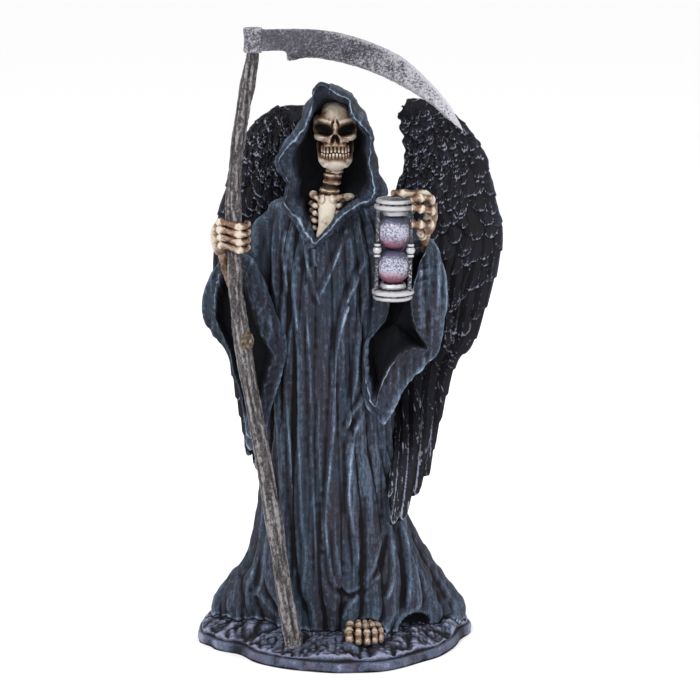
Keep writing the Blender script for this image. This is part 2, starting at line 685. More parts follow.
# %% The robe
ROBE_LEVELS = [
    (4, -7, 2, 57, 61, 31, 35, 1.0, 0.6),
    (9, -7, 2, 57, 61, 31, 35, 1.0, 2.2),
    (15, -7, 2, 55, 56, 32, 35, 0.90, 3.0),
    (21, -7, 2, 51, 50, 33, 34, 0.68, 3.2),
    (28, -7, 2, 46, 47, 34, 33, 0.40, 3.2),
    (41, -7, 1, 40, 42, 33.5, 32, 0.12, 3.1),
    (64, -8, 1, 36, 34, 33, 30, 0.0, 2.8),
    (88, -9, 0, 33, 31, 31, 29, 0.0, 2.6),
    (114, -10, 0, 31, 30, 28, 27, 0.0, 2.3),
    (142, -9, 0, 29, 29, 26, 26, 0.0, 2.2),
    (170, -9, 0, 30, 28, 25, 25, 0.0, 2.0),
    (195, -8, 0, 31, 29, 24, 23, 0.0, 1.8),
    (212, -8, 0, 30, 30, 18, 18, 0.0, 1.3),
    (217, -8, 0, 26, 27, 13, 14, 0.0, 0.8),
    (220, -7, 0, 16, 18, 8, 10, 0.0, 0.3),
]
HEM_OUTLINE = [
    (-70, 38), (-45, 44), (-20, 55), (-4, 63), (5, 61), (14, 53), (24, 46), (37, 40), (54, 42), (69, 36),
    (85, 31), (105, 31.5), (122, 33), (142, 35), (155, 37), (163, 46), (174, 53), (186, 61), (200, 51),
    (225, 43), (255, 38),
]
FRONT_FOLDS = [
    (-50, -41, -35), (-43, -37, -31), (-34, -32, -27), (-23, -24.5, -22), (-9, -9.5, -14), (4, -1, -5),
    (17, 6, 2), (27, 12, 8), (37, 16, 13), (47, 19, 17),
]
BACK_FOLDS = [-4, -28, -52, -77, -103, -128, -152, -176]
FOLD_HEIGHTS = (20.0, 100.0, 200.0)
KNEE = (5.0, 84.0, 15.0, 24.0, 3.5)
ARCHES = [((7.2, -37, 11.5), (10.5, 10.0, 8.5)), ((33, -23, 11.0), (9.5, 10.0, 7.0))]
HOOD_RIM = [
    (-13, -28, 273.8), (-8.8, -29, 272.1), (-4.6, -29, 269.4), (-0.6, -29, 267.8), (0.6, -28, 263),
    (3, -27, 258.3), (7.4, -25.5, 253.7), (10, -24.5, 248.2), (9.5, -24, 242.8), (9.3, -24, 236.3),
    (10.9, -24, 229.9), (11.7, -24.5, 224.6), (9.8, -25.5, 220.4), (4.4, -26.5, 217.9),
    (-0.3, -27.5, 215.2), (-5.2, -28, 211.4), (-8.9, -28.5, 206.9), (-13.2, -29.5, 202.7),
    (-16.6, -30, 200.1), (-18.7, -29.5, 203.2), (-21.4, -28.5, 206.2), (-24.2, -27.5, 211.3),
    (-28.1, -26.5, 214.6), (-30.5, -25.5, 218), (-29.3, -25, 222.8), (-28.6, -24.5, 228),
    (-31.9, -25, 233.6), (-33, -26, 238.2), (-31, -26, 242.9), (-25.3, -26, 249.4), (-21.9, -26, 253.6),
    (-19.1, -27, 259.5), (-17.3, -28, 265.6), (-16.6, -28, 270.7),
]
HOOD_MIDDLE = (-8.0, 236.0)
ROBE_SIDES = 390
ROBE_ROWS = 240
ROBE_TOP = 219.5
ROBE_GRAIN = [(0.55, (3.2, 6, 40), 0.0), (0.32, (1.3, 2.5, 18), 4.4), (0.22, 2.6, 9.2)]
CREST_WIDTH = 0.55
NECK_PLANE = -7.0
FOLD_LINES = [
    (1.0, 1.8, [(-35, 210), (-36, 197), (-36, 180), (-35, 170), (-34, 145), (-33, 116), (-31, 86)]),
    (1.6, 1.6, [(-27, 196), (-26, 170), (-24, 150), (-24, 120), (-23, 72), (-21, 50), (-23, 25)]),
    (0.9, 1.5, [(-23, 210), (-20, 190), (-14, 170)]),
    (0.9, 1.5, [(-1, 207), (-7, 190), (-14, 174)]),
    (1.7, 1.7, [(10, 196), (0, 174), (-5, 154), (-7, 134), (-8, 109), (-11, 72), (-11, 61), (-8, 39),
                (-3, 32)]),
    (1.0, 1.4, [(7, 174), (4, 150), (3, 134), (0, 116)]),
    (1.0, 1.4, [(10, 131), (5, 123), (1, 117), (-1, 111)]),
    (1.4, 1.8, [(7, 120), (1, 104), (0, 89), (0, 76), (3, 56), (5, 41)]),
    (1.0, 1.4, [(-32, 170), (-31, 140), (-29, 109), (-27, 76), (-25, 50), (-26, 31)]),
    (1.0, 1.6, [(-38, 159), (-36, 125), (-34, 96), (-32, 67), (-34, 37)]),
    (0.8, 1.3, [(-17, 197), (-16, 188)]),
    (1.3, 1.7, [(-7, 67), (-6, 50), (-3, 35), (2, 33), (9, 39), (14, 53), (16, 64)]),
    (0.9, 1.5, [(16, 41), (7, 33), (0, 25), (-3, 17)]),
    (1.3, 1.7, [(25, 64), (28, 49), (29, 35), (28, 20)]),
    (1.3, 1.9, [(31, 64), (36, 45), (45, 29), (49, 20)]),
    (1.1, 1.8, [(-40, 54), (-42, 35), (-46, 24)]),
    (0.7, 1.3, [(-21, 173), (-19, 145), (-18, 111), (-17, 76), (-16, 47)]),
    (0.7, 1.3, [(-15, 116), (-14, 86), (-13, 57), (-11, 27)]),
    (0.9, 1.5, [(20, 57), (21, 39), (18, 27)]),
    (0.9, 1.5, [(-30, 205), (-31, 191), (-29, 173)]),
]


def fold_angles(level):
    """Angles of the fold ridges at a height: front folds run through their x at three heights, back ones
    fan out."""
    height, middle, _, left, right = level[:5]
    angles = []
    for low, centre, high in FRONT_FOLDS:
        x = np.interp(height, FOLD_HEIGHTS, (low, centre, high))
        reach = right if x > middle else left
        angles.append(math.degrees(math.acos(np.clip((x - middle) / reach, -0.94, 0.94))))
    angles = sorted(angles)
    for i in range(1, len(angles)):
        angles[i] = max(angles[i], angles[i - 1] + 5.0)
    return angles + [angle + 360 for angle in reversed(BACK_FOLDS)]


def beside(x, z, line):
    """Distance to a smooth line seen from the front, counted positive on its right, and the place along
    it."""
    knots = open_curve(line, 4 * len(line))
    best, share, side = (np.full(x.shape, start) for start in (1e9, 0.0, 1.0))
    for k, (start, stop) in enumerate(zip(knots[:-1], knots[1:])):
        step = stop - start
        t = held(((x - start[0]) * step[0] + (z - start[1]) * step[1]) / (step**2).sum())
        dx, dz = x - start[0] - t * step[0], z - start[1] - t * step[1]
        away = np.hypot(dx, dz)
        near = away < best
        best = np.where(near, away, best)
        share = np.where(near, (k + t) / (len(knots) - 1), share)
        side = np.where(near, np.sign(step[0] * dz - step[1] * dx), side)
    return best * side, share


def fold_relief(x, z):
    """Heights of the single folds, a ridge that fades at its ends beside a groove, and a mask of their
    crests."""
    total, crests = np.zeros(x.shape), np.zeros(x.shape)
    for lift, wide, line in FOLD_LINES:
        away, share = beside(x, z, line)
        fade = held(np.minimum(share, 1 - share) / 0.12) * bell(away, 4 * wide, 4)
        total += fade * lift * (0.8 * bell(away, wide, 1.3) - 0.8 * bell(away + 1.7 * wide, wide))
        crests = np.maximum(crests, fade * bell(away, CREST_WIDTH))
    return total, crests


def hood_share(x, z):
    """How far out a point lies towards the rim of the hood's mouth: 1 on the rim, less inside."""
    rim = closed_curve(HOOD_RIM, 240)
    rim_x, rim_z = rim[:, 0] - HOOD_MIDDLE[0], rim[:, 2] - HOOD_MIDDLE[1]
    table = np.column_stack([np.degrees(np.arctan2(rim_z, rim_x)), np.hypot(rim_x, rim_z)])
    table = table[np.argsort(table[:, 0])]
    dx, dz = x - HOOD_MIDDLE[0], z - HOOD_MIDDLE[1]
    return np.hypot(dx, dz) / lookup(table, np.degrees(np.arctan2(dz, dx)))


def robe_surface():
    """Grid of the robe, hem to neck: ellipse, hem outline, folds, knee, the arches over the feet and the
    open neck."""
    turn = np.linspace(0, 360, ROBE_SIDES, endpoint=False)
    dense = open_curve(ROBE_LEVELS, 900)
    heights = np.linspace(ROBE_LEVELS[0][0], ROBE_TOP, ROBE_ROWS)
    level = np.array([np.interp(heights, dense[:, 0], dense[:, k]) for k in range(9)])[..., None]
    height, middle, depth, left, right, front, back, hem, rise = level
    ridges = np.array([fold_angles(row) for row in level[..., 0].T])
    count = ridges.shape[1]
    wide = np.concatenate([ridges - 360, ridges, ridges + 360], axis=1)
    phase = np.array([np.interp(turn, row, np.arange(3 * count)) for row in wide])
    c, s = np.cos(np.radians(turn)), np.sin(np.radians(turn))
    oval = 1 / np.hypot(c / np.where(c > 0, right, left), s / np.where(s > 0, front, back))
    fold = 2 * np.abs(np.cos(math.pi * phase)) ** 0.8 - 1
    front_x = middle + oval * c
    calm = 1 - 0.65 * bell(front_x + 12, 13, 4) * (s > 0) * held((height - 24) / 20)
    radius = oval * (1 - hem) + lookup(HEM_OUTLINE, turn) * hem + 0.5 * rise * fold * calm
    x, y = middle + radius * c, depth - radius * s
    kx, kz, kwide, tall, thrust = KNEE
    y -= np.where(s > 0, thrust, 0) * np.exp(-(((x - kx) / kwide) ** 2) - ((height - kz) / tall) ** 2)
    grid = np.stack([x, y, np.broadcast_to(height, x.shape)], axis=-1)
    shown = held(s * 3)
    relief, crests = fold_relief(x, grid[..., 2])
    lift = shown * relief * held((height - 12) / 10)
    crests = np.maximum(crests * shown, 0.8 * bell(phase - np.rint(phase), 0.06) * calm)
    crests = crests * held(0.45 + 1.1 * noise(grid, (3, 3, 12), 6.0))
    lift += grain(grid, ROBE_GRAIN)
    lift += 0.9 * noise(grid, (9, 9, 16), 2.2) * held((40 - height) / 20)
    grid, lift, crests = outward(grid, lift, crests)
    grid = push(grid, lift)
    x, y, z = np.moveaxis(grid, -1, 0)
    dark = np.zeros(x.shape)
    for spot, size in ARCHES:
        near = ((x - spot[0]) / size[0]) ** 2 + ((z - spot[2]) / size[2]) ** 2
        wall = spot[1] + size[1] * np.sqrt(held(1 - near))
        inside = (near < 1) & (y < wall) & (y < 0)
        y = np.where(inside, wall, y)
        dark = np.where(inside, 0.85, dark)
    neck = held((0.965 - hood_share(x, z)) / 0.03) * (y < 0) * (z > 190)
    grid[..., 1] = y * (1 - neck) + np.maximum(y, NECK_PLANE) * neck
    return grid, np.maximum(dark, neck), crests


cloth = Builder()
robe_grid, robe_dark, robe_crests = robe_surface()
robe_edge, robe_hollow = guides(robe_grid, 1, 5, 1.0, (2.4, 0.16))
x, y, z = np.moveaxis(robe_grid, -1, 0)
above = z - rock_level(x, y)
hem_lip = bell(above - 1.5, 0.7) * (0.75 + 0.5 * noise(robe_grid, 4.0))
knee_shine = 0.35 * np.exp(-(((x - 7) / 8) ** 2) - ((z - 88) / 17) ** 2) * (y < 0)
calmer = 0.66 + 0.34 * held((z - 95) / 50)
robe_edge = calmer * (0.8 * robe_edge + 0.75 * robe_crests) + hem_lip + knee_shine
robe_edge = np.clip(robe_edge, 0, 1.3) * (1 - robe_dark)
robe_hollow = np.maximum(robe_hollow, held((0.6 - above) / 0.4))
cloth.add(robe_grid, edge=robe_edge, hollow=robe_hollow, tone=robe_dark)
cloth.build("robe", ("figure",), "figure_paint", CLOTH)

# %% [markdown]
# ## Hood and sleeves
# The hood is one shell: over the crown, round the thick rolled edge and back in as the lining. The
# sleeves are the same kind of shell, from the shoulder down to a wide torn mouth. The lining's tone is
# kept on the vertices, so that one paint can leave the inside nearly black and still brush the rims.

# %% Hood and sleeves
HOOD_SIDES = 330
HOOD_ROWS = 112
HOOD_FRAY = [(0.5, 2.4, 0.0), (0.35, 1.1, 5.0)]
HOOD_GRAIN = [(0.9, (7, 9, 13), 0.0), (0.5, (2.6, 4, 7), 3.0), (0.2, 1.4, 6.0)]
SLEEVE_SIDES = 260
SLEEVE_ROWS = 84
ARM_GRAIN = [(0.8, (3, 6, 20), 0.0), (0.3, (1.4, 3, 9), 3.0)]
ARMS = [[(-22, 2, 208), (-36, 2, 200), (-46, -2, 184), (-48, -8, 168)],
        [(8, 2, 209), (20, 2, 203), (29, -2, 190), (33, -8, 176)]]
ARM_RADII = (9.5, 10.5, 10.0, 7.5)
HOOD_OVAL = [
    (-90, 27), (-60, 30), (-34, 31), (-13, 22.4), (17, 19.8), (42, 23), (60, 27.5), (76, 32.4), (92, 34),
    (106, 31), (130, 24), (155, 19), (180, 17.5), (205, 21), (230, 28), (250, 28),
]
HOOD_LINING = [
    (-103, 34), (-88, 27), (-70, 20.5), (-35, 19), (-10, 15.5), (20, 14.5), (50, 20), (76, 27.5),
    (92, 29), (110, 25), (140, 17.5), (180, 15), (205, 17), (230, 23), (248, 28),
]
RIGHT_CUFF = [
    (-57, -27, 192), (-61.5, -25, 184), (-63.8, -24, 174), (-63.5, -24, 164), (-60, -24, 155),
    (-56.5, -25, 147), (-55, -26, 138), (-52, -27, 129), (-50, -27, 118), (-47, -28, 106),
    (-43, -29, 112), (-41, -30, 124), (-38, -31, 137), (-35.5, -31, 147), (-39, -33, 155),
    (-43, -33.5, 163), (-46.5, -33, 175), (-51, -31, 187),
]
RIGHT_SWELL = [
    (-57.5, -22, 194.5), (-64.5, -20, 184.5), (-69.6, -18, 172), (-69.3, -18, 161.5), (-64.5, -18, 154),
    (-57.8, -20, 146), (-56.2, -21, 138), (-53, -22, 129), (-50.6, -22, 118), (-47.5, -22, 102),
    (-41, -20, 108), (-37, -20, 122), (-33, -20, 136), (-30, -19, 147), (-32, -18, 158), (-36, -18, 170),
    (-41, -18, 183), (-49, -19, 193),
]
LEFT_CUFF = [
    (35.5, -33, 200), (32, -37, 190), (28.6, -39, 176), (30.5, -38, 163), (37, -32.5, 150.5),
    (30, -37, 152), (23.3, -39, 149.5), (16.8, -39, 140), (13.6, -38, 131), (12, -36.5, 124),
    (8.6, -33, 132), (7, -31, 142), (7.4, -29, 152), (12, -27, 158), (17, -26, 165), (19, -26, 177),
    (25, -27, 189), (31, -29, 198),
]
LEFT_SWELL = [
    (38.5, -28, 200.5), (43.5, -27, 192), (46.2, -25, 179), (45.2, -25, 164), (41.8, -26, 149),
    (36, -28, 143), (29, -31, 135), (22.5, -33, 126), (19, -34, 119), (15.5, -33, 116.5), (8, -25, 124),
    (5, -20, 136), (5, -18, 150), (9, -15, 163), (13, -14, 176), (19, -14, 188), (26, -18, 197),
    (33, -24, 201),
]


def about_hood(ring):
    """Polar angle and radius of a ring round the hood's middle, seen from the front."""
    x, z = ring[:, 0] - HOOD_MIDDLE[0], ring[:, 2] - HOOD_MIDDLE[1]
    return np.degrees(np.arctan2(z, x)), np.hypot(x, z)


def hood_ring(angle, radius, depth):
    """A ring of points at the given angles, radii and depth round the hood's middle."""
    turn = np.radians(angle)
    x = HOOD_MIDDLE[0] + radius * np.cos(turn)
    z = HOOD_MIDDLE[1] + radius * np.sin(turn)
    return np.column_stack([x, np.broadcast_to(depth, x.shape), z])


def hood_surface():
    """Grid of the hood from the back of the crown to the end of the lining, and how deep inside each row
    lies."""
    rim = closed_curve(HOOD_RIM, HOOD_SIDES)
    depth = rim[:, 1]
    angle, radius = about_hood(rim)
    radius = radius + grain(rim, HOOD_FRAY) * 0.8
    oval, lining = lookup(HOOD_OVAL, angle), lookup(HOOD_LINING, angle)
    inner = np.minimum(radius - 2.4, lining)
    crown = [(0.04 * oval, 18.3), (0.45 * oval, 16.0), (0.80 * oval, 10.0), (oval, 0.0),
             ((oval + radius + 1.6) / 2, (depth + 3.0) / 2)]
    roll = [(radius + 1.7, depth + 2.6), (radius + 0.9, depth + 0.4), (radius - 0.3, depth - 0.2),
            (radius - 1.2, depth + 0.9)]
    lined = [((radius - 1.8 + inner) / 2, depth * 0.5 - 9.0), (inner, -15.0), (0.9 * inner, -9.0),
             (0.5 * inner, -4.0),
             (0.04 * inner, -3.0)]
    rings = [hood_ring(angle, reach, place) for reach, place in crown + roll + lined]
    grid = open_curve(rings, HOOD_ROWS)
    low = held((HOOD_MIDDLE[1] - grid[..., 2]) / 10)
    dark = held((np.linspace(0, len(rings) - 1, HOOD_ROWS)[:, None] - 8.4 - 1.3 * low) / 1.2)
    turned, turned_dark = outward(grid, dark)
    return push(turned, grain(turned, HOOD_GRAIN) * (1 - 0.7 * dark)), turned_dark


def sleeve_surface(cuff, swell, elbow, shoulder, tuck, seed):
    """Grid of a sleeve from the shoulder, over the swell, round the torn edge and back inside."""
    mouth, body = closed_curve(cuff, SLEEVE_SIDES), closed_curve(swell, SLEEVE_SIDES)
    middle = mouth.mean(axis=0)
    mouth = mouth + (mouth - middle) * grain(mouth, [(0.030, 3.0, seed), (0.018, 1.2, seed)])[:, None]
    back = body * 0.62 + np.array(elbow) * 0.38 + np.array((0, tuck, 0))
    inner = mouth + (middle - mouth) * 0.08
    top = np.array(shoulder) + (back - back.mean(axis=0)) * 0.06
    rings = [top, (top + back) / 2 + (back - back.mean(axis=0)) * 0.12, back, body,
             (body + mouth) / 2 + (body - mouth) * 0.06, mouth + (0, 0.8, 0), mouth, inner + (0, 0.7, 0),
             inner * 0.86 + middle * 0.14 + (0, 6, 0), inner * 0.72 + middle * 0.28 + (0, 11, 0),
             inner * 0.05 + middle * 0.95 + (0, 12, 0)]
    grid = outward(open_curve(rings, SLEEVE_ROWS))
    dark = held((np.linspace(0, len(rings) - 1, SLEEVE_ROWS) - 6.7) / 0.8)
    dark = dark[:, None] * np.ones(SLEEVE_SIDES)
    lift = grain(grid, [(1.0, (3.6, 8, 34), seed), (0.5, (1.7, 4, 16), seed + 2), (0.2, 1.5, seed)])
    return push(grid, lift * (1 - 0.6 * dark)), dark


cloth = Builder()
right_sleeve = sleeve_surface(RIGHT_CUFF, RIGHT_SWELL, (-44, -6, 172), (-36, 4, 182), 7.0, 1.3)
left_sleeve = sleeve_surface(LEFT_CUFF, LEFT_SWELL, (28, -8, 168), (18, 2, 182), 7.0, 4.7)
for (grid, dark), crest in ((hood_surface(), 7.0 / 13), (right_sleeve, 0.6), (left_sleeve, 0.6)):
    edge, hollow = guides(grid, 1, 6, 0.9, (2.2, 0.14))
    share = np.linspace(0, 1, len(grid))[:, None]
    rim = bell(share - crest, 0.016) * (1.05 + 0.6 * noise(grid, 2.0))
    edge = np.clip(edge * (1 - 0.6 * dark) + rim, 0, 1.5)
    cloth.add(grid, edge=edge, hollow=hollow * (1 - held(rim)), tone=dark)
for line in ARMS:
    arm = outward(tube_grid(open_curve(line, 50), np.interp(np.linspace(0, 3, 50), range(4), ARM_RADII),
                            90))
    cloth.add(push(arm, grain(arm, ARM_GRAIN)), gain=1.2, fine=1, broad=5)
cloth.build("hood_and_sleeves", ("figure",), "figure_paint", CLOTH)

# %% [markdown]
# ## The skull
# The skull is one star-shaped surface: along every direction from a point inside, the farther of two
# ellipsoids, the cranium and the face. Soft spots press in the eye sockets, nose and cheeks and raise the
# brow, cheekbones and chin. The same spots tell the paint how dark each hollow is.

# %% The skull
SKULL_SIDES = 260
BROW_TOP = 257.5
EYE_LOW = 250.0
TOOTH_ROWS = ((243.3, 1.6, 9), (240.0, 1.35, 10))
TOOTH_PARTING = 242
SKULL_GRAIN = [(0.16, 2.2, 0.0), (0.10, 0.9, 3.0)]
SKULL_HEART = (-6.9, -10.5, 248.3)
CRANIUM = ((-6.9, -8.5, 253.4), (10.6, 14.0, 12.0))
FACE = ((-6.9, -12.5, 243.0), (8.9, 9.6, 10.8))
SKULL_MARKS = [
    (-12.6, 252.3, 4.6, 3.1, -8, -4.8, 1.5), (-0.9, 252.2, 4.7, 3.1, 8, -4.8, 1.5),
    (-8.0, 247.9, 1.0, 2.4, -16, -2.6, 1.1), (-5.8, 247.9, 1.0, 2.4, 16, -2.6, 1.1),
    (-10.8, 255.8, 4.2, 1.3, -14, 0.6, 0.22), (-2.8, 255.8, 4.2, 1.3, 14, 0.6, 0.22),
    (-6.9, 251.8, 1.3, 2.2, 0, 1.2, 0.15), (-8.1, 255.4, 0.6, 1.7, -20, -0.8, 0.8),
    (-5.6, 255.4, 0.6, 1.7, 20, -0.8, 0.8), (-14.9, 248.3, 2.9, 1.7, 14, 1.5, -0.3),
    (1.4, 248.1, 2.9, 1.7, -14, 1.5, -0.3), (-15.0, 242.8, 2.7, 3.6, 6, -2.2, 1.15),
    (1.2, 242.8, 2.8, 3.8, -6, -2.4, 1.2), (-7.0, 245.0, 5.4, 0.8, 0, 0.7, 0.1),
    (-7.0, 241.4, 6.9, 3.3, 0, -1.2, 0.75), (-12.6, 237.2, 2.6, 2.6, -30, 1.3, 0.25),
    (-1.2, 237.2, 2.6, 2.6, 30, 1.3, 0.35), (-6.9, 235.2, 5.4, 2.7, 0, 0.9, -0.95),
    (-6.9, 260.5, 4.6, 3.8, 0, 0.3, -0.25), (-12.0, 245.6, 1.6, 1.0, 20, -0.5, 0.4),
    (-2.0, 245.6, 1.6, 1.0, -20, -0.5, 0.4), (-10.9, 250.0, 2.4, 0.7, -8, 0.4, 0.0),
]


def ellipsoid_reach(direction, centre, radii):
    """Distance from the skull's heart along a direction to an ellipsoid that holds the heart."""
    start = (np.array(SKULL_HEART) - centre) / radii
    ahead = direction / radii
    a = (ahead**2).sum(axis=-1)
    b = (ahead * start).sum(axis=-1)
    c = (start**2).sum() - 1
    return (-b + np.sqrt(b**2 - a * c)) / a


def skull_surface():
    """Grid of directions about the forward axis, dense over the face, carried out to the skull."""
    tilt = np.radians(np.concatenate([np.linspace(0.3, 62, 120), np.linspace(63, 178, 50)]))[:, None]
    turn = np.linspace(0, 2 * math.pi, SKULL_SIDES, endpoint=False)
    ahead = -np.cos(tilt) * np.ones(SKULL_SIDES)
    direction = np.stack([np.sin(tilt) * np.cos(turn), ahead, np.sin(tilt) * np.sin(turn)], axis=-1)
    reach = np.maximum(ellipsoid_reach(direction, *map(np.array, CRANIUM)),
                       ellipsoid_reach(direction, *map(np.array, FACE)))
    spot = np.array(SKULL_HEART) + reach[..., None] * direction
    x, _, z = np.moveaxis(spot, -1, 0)
    facing = held(-direction[..., 1] * 2.2)
    dark = np.zeros(reach.shape)
    for mark_x, mark_z, wide, tall, lean, thrust, wash in SKULL_MARKS:
        dx, dz, c, s = x - mark_x, z - mark_z, math.cos(math.radians(lean)), math.sin(math.radians(lean))
        near = ((dx * c + dz * s) / wide) ** 2 + ((dz * c - dx * s) / tall) ** 2
        mask = facing * np.exp(-(near**2.4))
        reach = reach + thrust * mask
        dark = dark + wash * mask
    aside = np.abs(x - SKULL_HEART[0])
    narrow = 4.8 + 2.0 * held((BROW_TOP - z) / 3)
    fade = 0.40 + 0.60 * held((z - BROW_TOP) / 2.5)
    dark = dark + 1.1 * fade * held((aside - narrow) / 2.2) * held((z - EYE_LOW) / 2.5)
    for height, size, shift in SKULL_GRAIN:
        reach = reach + height * noise(spot, size, shift)
    return outward(np.array(SKULL_HEART) + reach[..., None] * direction, dark)


bones = Builder()
skull_grid, skull_dark = skull_surface()
edge, hollow = guides(skull_grid, 3, 10, 0.9)
bones.add(skull_grid, edge=edge, hollow=hollow, tone=skull_dark)


def egg(middle, radii, rows=10, cols=14):
    """A small rounded block about a middle, as a grid from pole to pole."""
    tilt = np.linspace(0.05, math.pi - 0.05, rows)[:, None]
    turn = np.linspace(0, 2 * math.pi, cols, endpoint=False)
    shape = np.stack([np.sin(tilt) * np.cos(turn), np.sin(tilt) * np.sin(turn), np.cos(tilt)
                      * np.ones(cols)], axis=-1)
    return outward(np.array(middle) + np.sign(shape) * np.abs(shape) ** 0.75 * radii)


for height, tall, count in TOOTH_ROWS:
    for turn in np.radians(np.linspace(-56, 56, count)):
        middle = (FACE[0][0] + 7.4 * math.sin(turn), -14.6 - 8.4 * math.cos(turn),
                  height + 0.3 * math.cos(5 * turn))
        tooth = egg(middle, (0.66, 0.9, tall))
        edge = held((tooth[..., 2] - height) * (1 if height < TOOTH_PARTING else -1) * 0.35 + 0.25)
        tone = 0.10 + 0.3 * abs(math.sin(turn)) + 0.5 * held(np.abs(tooth[..., 0] - middle[0]) / 0.6) ** 2
        bones.add(tooth, edge=edge, hollow=np.full(edge.shape, 0.05), tone=tone)

# %% [markdown]
# ## Chest, hands and toes
# The skeleton is cast in one with the robe and picked out in ivory paint. Bones are tubes along smooth
# lines, thick at the joints and thin between, with a little seeded unevenness. Where fingers or toes lie
# side by side, the brown wash stays between them, so a bone is stained where its skin faces its
# neighbour.

# %% Chest, hands and toes
FINGER_RADIUS = 0.0019
FINGER_BOW = 0.0010
BONE_GRAIN = [(0.12, 1.6, 0.0), (0.10, 0.8, 2.0)]
SOCKET_DEPTH = 0.0030
STAFF_LINE = [
    (-26.2, -41.5, (BASE_TOP - SOCKET_DEPTH) / PART), (-29.0, -41, 21.3), (-32.7, -40.5, 45.8),
    (-36.3, -40, 70), (-40.4, -39, 96.5), (-44.9, -38, 123), (-49.9, -37, 153.8),
    (-52.9, -36, 179.6), (-53.7, -35, 200.5),
    (-54.0, -33, 221.6), (-52.1, -31, 244.5), (-48.3, -29, 267), (-45.3, -27, 284), (-44.2, -26, 299.6),
]
STAFF_TOP_RADIUS = 0.0032
STAFF_FOOT_RADIUS = 0.0042
GRIP_CLEARANCE = 0.0004
RIGHT_FINGERS = (210.6, 207.1, 203.5, 199.9)
LEFT_FINGERS = [
    [(37, -38, 223.0), (33, -41.5, 225.4), (27, -42.5, 225.6), (22, -40.5, 225.5), (19, -39, 225.2)],
    [(37.2, -39, 221.0), (36.6, -44, 223.4), (33.5, -47, 224.4), (30, -48.3, 224.0),
     (27.6, -48.3, 223.4)],
    [(37.6, -39, 216.8), (36.8, -44.5, 218.0), (33.6, -48.3, 219.3), (30.3, -49.8, 220.1),
     (27.8, -49.8, 220.3)],
    [(37.2, -38.5, 211.2), (36.2, -44, 211.6), (33.2, -47.6, 212.1), (30.2, -49.2, 212.5),
     (28, -49.2, 212.7)],
]
RIGHT_PALM = [(-59.5, -32.5, 211), (-60.8, -33, 206), (-60.6, -33, 201), (-59.5, -31, 196)]
RIGHT_FOREARM = [(-59.5, -31, 198), (-58.5, -29, 190), (-55.5, -25, 180), (-50, -9, 166)]
LEFT_PALM = [(36.4, -38, 222.5), (37.2, -37, 217), (36.8, -36.5, 211), (35.4, -35.5, 206)]
LEFT_FOREARM = [(35.4, -35, 207), (34.8, -32, 201.5), (34, -26, 195), (32, -9, 180)]
LEFT_THUMB = [(34.6, -36, 206.5), (33.6, -39, 205.2), (32.6, -42.2, 206.6), (31.8, -43.8, 209)]
VERTEBRAE = [(234.0, 6.4, 4.2, 0.35), (228.2, 5.2, 4.4, 0.50), (224.4, 1.6, 4.1, 0.80),
             (221.2, 5.0, 4.9, 0.40)]
BREASTBONE = [(-10.6, -18.6, 221), (-10.8, -20.6, 215), (-11.6, -22.2, 208.5), (-14.8, -24.3, 201.5)]
TOES = [(-0.4, -45.2, 2.0), (4.0, -47.2, 1.7), (8.0, -47.2, 1.6), (11.7, -45.8, 1.5), (14.6, -43.4, 1.3)]


def bone(line, radii, rows=30, sides=18, flat=1.0, tone=0.0, tip=0.35, close=None):
    """A bone along a line: radii eased along it, rounded ends, uneven skin, stained where it faces a
    close neighbour."""
    path = open_curve(line, rows)
    share = np.linspace(0, 1, rows)
    size = np.interp(share * (len(radii) - 1), range(len(radii)), radii)
    size = size * held(1 - (1 - tip) * np.exp(-np.minimum(share, 1 - share) * rows / 1.2))
    grid = outward(tube_grid(path, size, sides, flat))
    grid = push(grid, grain(grid, BONE_GRAIN))
    edge, hollow = guides(grid, 2, 6, 1.6)
    hollow = hollow * held(np.minimum(share, 1 - share) * 3 - 0.1)[:, None]
    if close is not None:
        tone = tone + 0.75 * np.abs(grid_normal(grid)[..., close]) ** 3
    bones.add(grid, edge=edge, hollow=hollow, tone=tone)


for z, tall, wide, stain in VERTEBRAE:
    x, y = -6.9 - 0.20 * (235 - z), -10.6 - 0.12 * (235 - z)
    line = [(x + 0.3, y, z + tall * 0.6), (x, y, z), (x - 0.3, y, z - tall * 0.6)]
    bone(line, (wide * 0.86, wide, wide * 0.9, wide, wide * 0.86), 24, 30, tone=stain)
bone(BREASTBONE, (3.3, 4.5, 4.0, 3.6, 2.5, 1.3), 46, 26, 0.5, tone=-1.0)
for side, end in ((-1, (-17.8, -16.5, 222)), (1, (1.6, -15.5, 220.2))):
    collarbone = [(-10.4 + side * 1.5, -20.2, 219.2), (-10.4 + side * 5, -20.6, 220.4), end]
    bone(collarbone, (1.6, 2.4, 1.5, 1.4, 1.9, 1.5), 40, tone=0.05)
    for k in range(4):
        z, middle, wide = 216.0 - 3.5 * k, -10.8 - 0.7 * k, 7.6 - 0.8 * k
        bone([(middle + side * 1.5, -20.5, z), (middle + side * wide * 0.7, -19.6, z + 0.5),
              (middle + side * wide, -13, z + 1.0)], (1.2, 0.8, 1.35, 1.1, 1.3), 30, tone=0.25)


def staff_line(count):
    """The staff's middle line in parts, and its plain radius."""
    share = np.linspace(0, 1, count)
    plain = STAFF_FOOT_RADIUS + (STAFF_TOP_RADIUS - STAFF_FOOT_RADIUS) * share
    swell = 1 + 0.06 * np.sin(share * 31.0) + 0.04 * np.sin(share * 57.0 + 1.0)
    return open_curve(STAFF_LINE, count), plain * swell / PART


